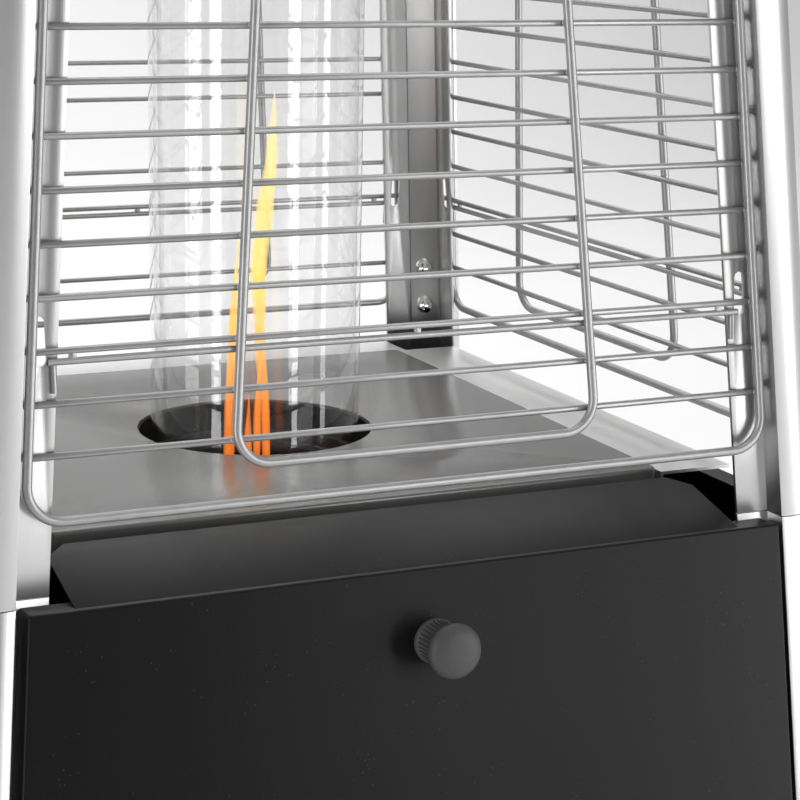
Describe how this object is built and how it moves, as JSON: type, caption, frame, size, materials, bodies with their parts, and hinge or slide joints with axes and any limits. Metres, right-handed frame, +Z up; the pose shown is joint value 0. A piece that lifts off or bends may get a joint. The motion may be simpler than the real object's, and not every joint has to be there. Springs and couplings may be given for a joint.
{
  "type": "patio heater",
  "caption": "Pyramid-shaped gas patio heater: glass flame tube inside leaning posts with lift-off wire guards, over a cabinet with a drop-down door.",
  "frame": {"origin": "middle of the footprint, on the floor that the feet stand on", "axes": "+Z up along the glass tube, -Y towards the door, +X to the right seen from the front"},
  "size_m": [0.53, 0.53, 2.1363],
  "materials": {
    "black_sheet": "black powder coat, satin",
    "burner_black": "heat-resistant black, matt",
    "post_aluminium": "brushed lengthways, clear anodised",
    "rail_silver": "silver paint, satin",
    "guard_wire": "silver-grey coating on wire, satin",
    "plate_enamel": "grey-brown enamel, glossy",
    "zinc_steel": "zinc-plated, satin",
    "screw_chrome": "bright plated",
    "rubber_black": "matt",
    "seal_silicone": "matt charcoal silicone",
    "grip_plastic": "fine grain, satin",
    "button_red": "glossy",
    "magnet_black": "matt",
    "gas_brass": "machined",
    "electrode_white": "glazed ceramic",
    "quartz": "clear, polished"
  },
  "bodies": {
    "frame": {"base_tray": "black_sheet", "base_feet": "rubber_black", "wheel_bracket": "zinc_steel", "wheel_axle": "zinc_steel", "bottle_ring": "black_sheet", "post_lower_front_left": "post_aluminium", "post_lower_front_right": "post_aluminium", "post_lower_rear_left": "post_aluminium", "post_lower_rear_right": "post_aluminium", "post_upper_front_left": "post_aluminium", "post_upper_front_right": "post_aluminium", "post_upper_rear_left": "post_aluminium", "post_upper_rear_right": "post_aluminium", "post_joiners": "post_aluminium", "joiner_screws": "screw_chrome", "panel_left": "black_sheet", "panel_right": "black_sheet", "panel_rear": "black_sheet", "panel_screws": "screw_chrome", "deck_rails": "rail_silver", "door_hinge_pins": "zinc_steel", "door_magnets": "magnet_black", "burner_plate": "plate_enamel", "control_box": "black_sheet", "burner_cup": "burner_black", "tube_seal": "seal_silicone", "burner_head": "zinc_steel", "gas_pipe": "gas_brass", "pilot_burner": "gas_brass", "thermocouple": "zinc_steel", "spark_electrode": "electrode_white", "gas_valve": "gas_brass", "valve_bracket": "zinc_steel", "gas_inlet": "gas_brass", "igniter_body": "grip_plastic", "tilt_switch": "grip_plastic", "glass_tube": "quartz", "head_pan": "black_sheet", "head_seal": "seal_silicone", "flame_screen": "burner_black", "top_cap": "black_sheet", "cap_studs": "zinc_steel", "cap_nuts": "zinc_steel"},
    "door": {"front_door": "black_sheet", "door_pull": "grip_plastic", "door_pull_screw": "zinc_steel", "door_strikes": "zinc_steel"},
    "wheel_left": {"wheel_left": "rubber_black"},
    "wheel_right": {"wheel_right": "rubber_black"},
    "stem": {"control_stem": "zinc_steel"},
    "knob": {"control_knob": "grip_plastic"},
    "igniter": {"igniter_button": "button_red"},
    "guard_front": {"guard_front": "guard_wire"},
    "guard_right": {"guard_right": "guard_wire"},
    "guard_rear": {"guard_rear": "guard_wire"},
    "guard_left": {"guard_left": "guard_wire"}
  },
  "joints": [
    {"name": "door_tilt", "type": "hinge", "parent": "frame", "child": "door", "pos_m": [0, -0.2443, 0.087], "axis": [1, 0, 0], "range_deg": [0, 75]},
    {"name": "wheel_left_roll", "type": "hinge", "parent": "frame", "child": "wheel_left", "pos_m": [-0.15, 0.23, 0.036], "axis": [1, 0, 0], "continuous": true},
    {"name": "wheel_right_roll", "type": "hinge", "parent": "frame", "child": "wheel_right", "pos_m": [0.15, 0.23, 0.036], "axis": [1, 0, 0], "continuous": true},
    {"name": "stem_press", "type": "slide", "parent": "frame", "child": "stem", "axis": [0, 1, 0], "range_m": [0, 0.003], "stiffness_N_per_m": 500, "springref_m": -0.003},
    {"name": "knob_turn", "type": "hinge", "parent": "stem", "child": "knob", "pos_m": [-0.042, -0.1475, 0.698], "axis": [0, -1, 0], "range_deg": [0, 180]},
    {"name": "igniter_press", "type": "slide", "parent": "frame", "child": "igniter", "axis": [0, 1, 0], "range_m": [0, 0.005], "stiffness_N_per_m": 400, "springref_m": -0.003},
    {"name": "guard_front_lift", "type": "slide", "parent": "frame", "child": "guard_front", "axis": [0, 0.0768, 0.997], "range_m": [0, 0.013]},
    {"name": "guard_right_lift", "type": "slide", "parent": "frame", "child": "guard_right", "axis": [-0.0768, 0, 0.997], "range_m": [0, 0.013]},
    {"name": "guard_rear_lift", "type": "slide", "parent": "frame", "child": "guard_rear", "axis": [0, -0.0768, 0.997], "range_m": [0, 0.013]},
    {"name": "guard_left_lift", "type": "slide", "parent": "frame", "child": "guard_left", "axis": [0.0768, 0, 0.997], "range_m": [0, 0.013]}
  ]
}
